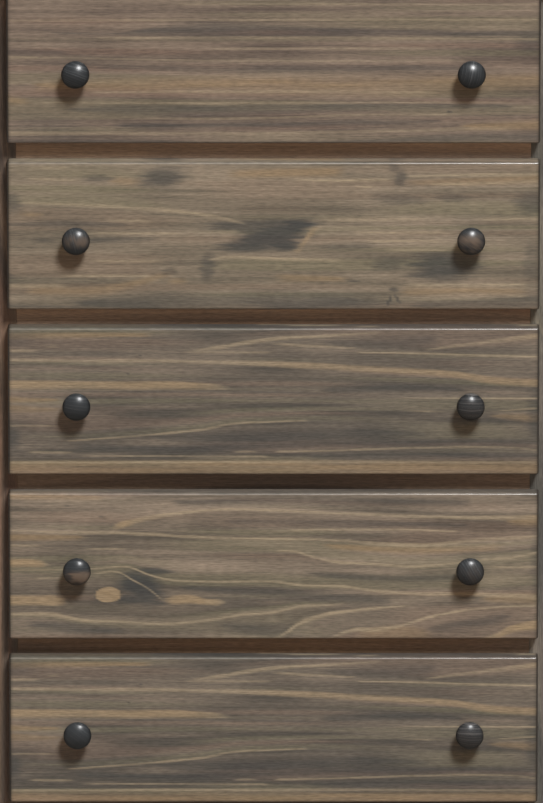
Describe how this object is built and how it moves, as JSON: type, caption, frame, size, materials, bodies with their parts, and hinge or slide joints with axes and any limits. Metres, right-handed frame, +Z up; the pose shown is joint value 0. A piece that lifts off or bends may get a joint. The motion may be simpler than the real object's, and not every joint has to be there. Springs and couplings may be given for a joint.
{
  "type": "chest of drawers",
  "caption": "floor-standing pine chest with overlay drawers on a face frame, weathered grey-brown stain, turned dark wood knobs, drawers on wooden runners",
  "frame": {"origin": "on the floor under the middle of the whole chest, knobs included", "axes": "+X to the right seen from the front, +Y from the drawer fronts to the back, +Z up"},
  "size_m": [0.752, 0.4746, 1.182],
  "materials": {
    "stained_pine": "solid pine, weathered grey-brown stain under satin lacquer",
    "bare_pine": "solid pine, planed and sealed, unstained",
    "plywood": "thin rotary-cut plywood, sanded",
    "knob_wood": "turned hardwood, near-black stain under gloss lacquer",
    "zinc_steel": "bright zinc-plated steel screws",
    "nylon": "moulded brown nylon"
  },
  "bodies": {
    "case": {"left_side_panel": "stained_pine", "right_side_panel": "stained_pine", "top_panel": "stained_pine", "back_panel": "plywood", "left_stile": "stained_pine", "right_stile": "stained_pine", "top_rail": "stained_pine", "divider_rail_1": "stained_pine", "divider_rail_2": "stained_pine", "divider_rail_3": "stained_pine", "divider_rail_4": "stained_pine", "bottom_rail": "stained_pine", "rear_top_rail": "bare_pine", "rear_bottom_rail": "bare_pine", "left_runners": "bare_pine", "right_runners": "bare_pine", "top_kickers": "bare_pine", "drawer_stops": "bare_pine", "floor_glides": "nylon", "case_screws": "zinc_steel"},
    "drawer_1": {"drawer_1_front": "stained_pine", "drawer_1_left_side": "bare_pine", "drawer_1_right_side": "bare_pine", "drawer_1_back": "bare_pine", "drawer_1_bottom": "plywood", "drawer_1_left_knob": "knob_wood", "drawer_1_right_knob": "knob_wood", "drawer_1_knob_screws": "zinc_steel"},
    "drawer_2": {"drawer_2_front": "stained_pine", "drawer_2_left_side": "bare_pine", "drawer_2_right_side": "bare_pine", "drawer_2_back": "bare_pine", "drawer_2_bottom": "plywood", "drawer_2_left_knob": "knob_wood", "drawer_2_right_knob": "knob_wood", "drawer_2_knob_screws": "zinc_steel"},
    "drawer_3": {"drawer_3_front": "stained_pine", "drawer_3_left_side": "bare_pine", "drawer_3_right_side": "bare_pine", "drawer_3_back": "bare_pine", "drawer_3_bottom": "plywood", "drawer_3_left_knob": "knob_wood", "drawer_3_right_knob": "knob_wood", "drawer_3_knob_screws": "zinc_steel"},
    "drawer_4": {"drawer_4_front": "stained_pine", "drawer_4_left_side": "bare_pine", "drawer_4_right_side": "bare_pine", "drawer_4_back": "bare_pine", "drawer_4_bottom": "plywood", "drawer_4_left_knob": "knob_wood", "drawer_4_right_knob": "knob_wood", "drawer_4_knob_screws": "zinc_steel"},
    "drawer_5": {"drawer_5_front": "stained_pine", "drawer_5_left_side": "bare_pine", "drawer_5_right_side": "bare_pine", "drawer_5_back": "bare_pine", "drawer_5_bottom": "plywood", "drawer_5_left_knob": "knob_wood", "drawer_5_right_knob": "knob_wood", "drawer_5_knob_screws": "zinc_steel"}
  },
  "joints": [
    {"name": "drawer_1_slide", "type": "slide", "parent": "case", "child": "drawer_1", "axis": [0, -1, 0], "range_m": [0, 0.33]},
    {"name": "drawer_2_slide", "type": "slide", "parent": "case", "child": "drawer_2", "axis": [0, -1, 0], "range_m": [0, 0.33]},
    {"name": "drawer_3_slide", "type": "slide", "parent": "case", "child": "drawer_3", "axis": [0, -1, 0], "range_m": [0, 0.33]},
    {"name": "drawer_4_slide", "type": "slide", "parent": "case", "child": "drawer_4", "axis": [0, -1, 0], "range_m": [0, 0.33]},
    {"name": "drawer_5_slide", "type": "slide", "parent": "case", "child": "drawer_5", "axis": [0, -1, 0], "range_m": [0, 0.33]}
  ]
}
